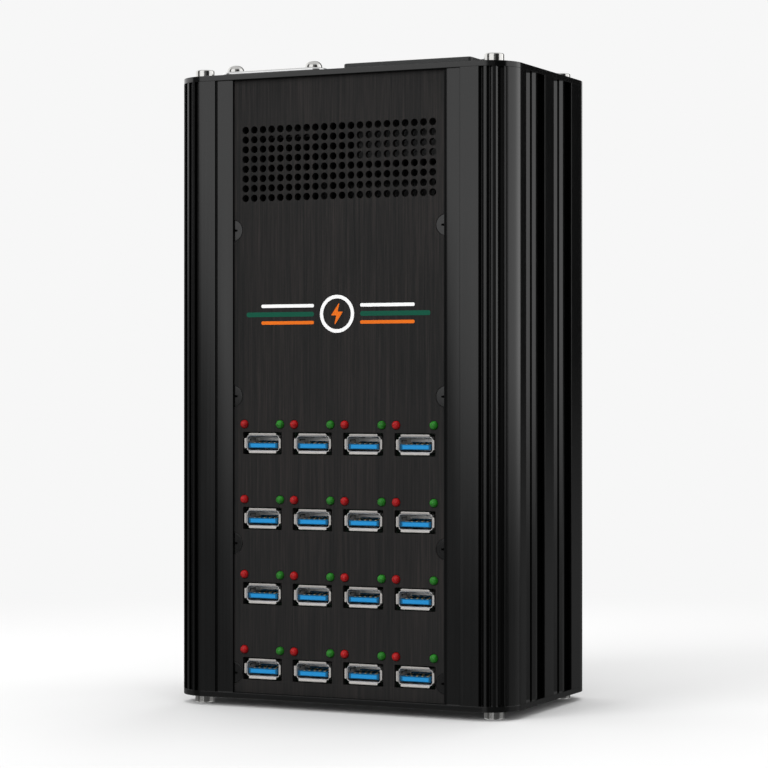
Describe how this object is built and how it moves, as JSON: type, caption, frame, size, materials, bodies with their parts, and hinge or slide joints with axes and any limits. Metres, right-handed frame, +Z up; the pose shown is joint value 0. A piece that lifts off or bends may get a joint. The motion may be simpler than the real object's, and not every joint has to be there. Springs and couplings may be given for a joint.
{
  "type": "phone charging kiosk",
  "caption": "Free-standing charging cabinet of black extruded aluminium: vented front panel, rows of charging ports with indicator lights, cooling fan and mains inlet on top.",
  "frame": {"origin": "centre of the footprint, at the underside of the four lower screw heads the cabinet stands on", "axes": "+Z up, front panel and charging ports face -Y, +X to the right seen from the front"},
  "size_m": [0.132, 0.082, 0.2342],
  "materials": {
    "black_anodised": "black anodised extrusion, satin",
    "brushed_black": "fine vertical brushing, black anodised",
    "black_plate": "black, satin",
    "stainless": "bright stainless, turned",
    "black_screw": "black, satin",
    "port_shell": "nickel-plated pressed steel",
    "led_carrier": "black moulded",
    "circuit_board": "solder mask, satin",
    "bare_aluminium": "natural, mill finish",
    "fan_plastic": "black moulded",
    "chrome_wire": "bright plated",
    "inlet_plastic": "black moulded, fine texture",
    "switch_plastic": "black, glossy",
    "fuse_glass": "clear",
    "lead_jacket": "black, satin",
    "tongue_blue": "blue moulded, satin",
    "contact_metal": "gold plated",
    "light_red": "red tinted lens",
    "light_green": "green tinted lens",
    "print_white": "screen print",
    "print_orange": "screen print",
    "print_green": "screen print"
  },
  "bodies": {
    "cabinet": {"right_side_profile": "black_anodised", "left_side_profile": "black_anodised", "top_plate": "black_plate", "bottom_plate": "black_plate", "rear_panel": "black_plate", "front_panel": "brushed_black", "top_plate_screw_1": "stainless", "bottom_plate_screw_1": "stainless", "fan_screw_1": "stainless", "led_row_1": "led_carrier", "top_plate_screw_2": "stainless", "bottom_plate_screw_2": "stainless", "fan_screw_2": "stainless", "led_row_2": "led_carrier", "top_plate_screw_3": "stainless", "bottom_plate_screw_3": "stainless", "fan_screw_3": "stainless", "led_row_3": "led_carrier", "top_plate_screw_4": "stainless", "bottom_plate_screw_4": "stainless", "fan_screw_4": "stainless", "led_row_4": "led_carrier", "panel_screw_1": "black_screw", "panel_screw_2": "black_screw", "panel_screw_3": "black_screw", "panel_screw_4": "black_screw", "panel_screw_5": "black_screw", "panel_screw_6": "black_screw", "panel_screw_7": "black_screw", "panel_screw_8": "black_screw", "charging_port_r1c1": "port_shell", "charging_port_r1c2": "port_shell", "charging_port_r1c3": "port_shell", "charging_port_r1c4": "port_shell", "charging_port_r2c1": "port_shell", "charging_port_r2c2": "port_shell", "charging_port_r2c3": "port_shell", "charging_port_r2c4": "port_shell", "charging_port_r3c1": "port_shell", "charging_port_r3c2": "port_shell", "charging_port_r3c3": "port_shell", "charging_port_r3c4": "port_shell", "charging_port_r4c1": "port_shell", "charging_port_r4c2": "port_shell", "charging_port_r4c3": "port_shell", "charging_port_r4c4": "port_shell", "board_rail_left": "bare_aluminium", "board_rail_right": "bare_aluminium", "charger_board": "circuit_board", "power_supply": "bare_aluminium", "fan_frame": "fan_plastic", "fan_guard": "chrome_wire", "inlet_module": "inlet_plastic", "mains_lead": "lead_jacket", "dc_lead": "lead_jacket"},
    "rotor": {"fan_rotor": "fan_plastic"},
    "power_rocker": {"rocker_switch": "switch_plastic"},
    "fuse_tray": {"fuse_drawer": "inlet_plastic", "fuse_cartridge": "fuse_glass"}
  },
  "joints": [
    {"name": "fan_spin", "type": "hinge", "parent": "cabinet", "child": "rotor", "pos_m": [-0.0343, -0.005, 0.215], "axis": [0, 0, 1], "continuous": true},
    {"name": "power_switch_rock", "type": "hinge", "parent": "cabinet", "child": "power_rocker", "pos_m": [0.03445, -0.0025, 0.2283], "axis": [-1, 0, 0], "range_deg": [0, 16]},
    {"name": "fuse_drawer_slide", "type": "slide", "parent": "cabinet", "child": "fuse_tray", "axis": [0, 0, 1], "range_m": [0, 0.016]}
  ]
}
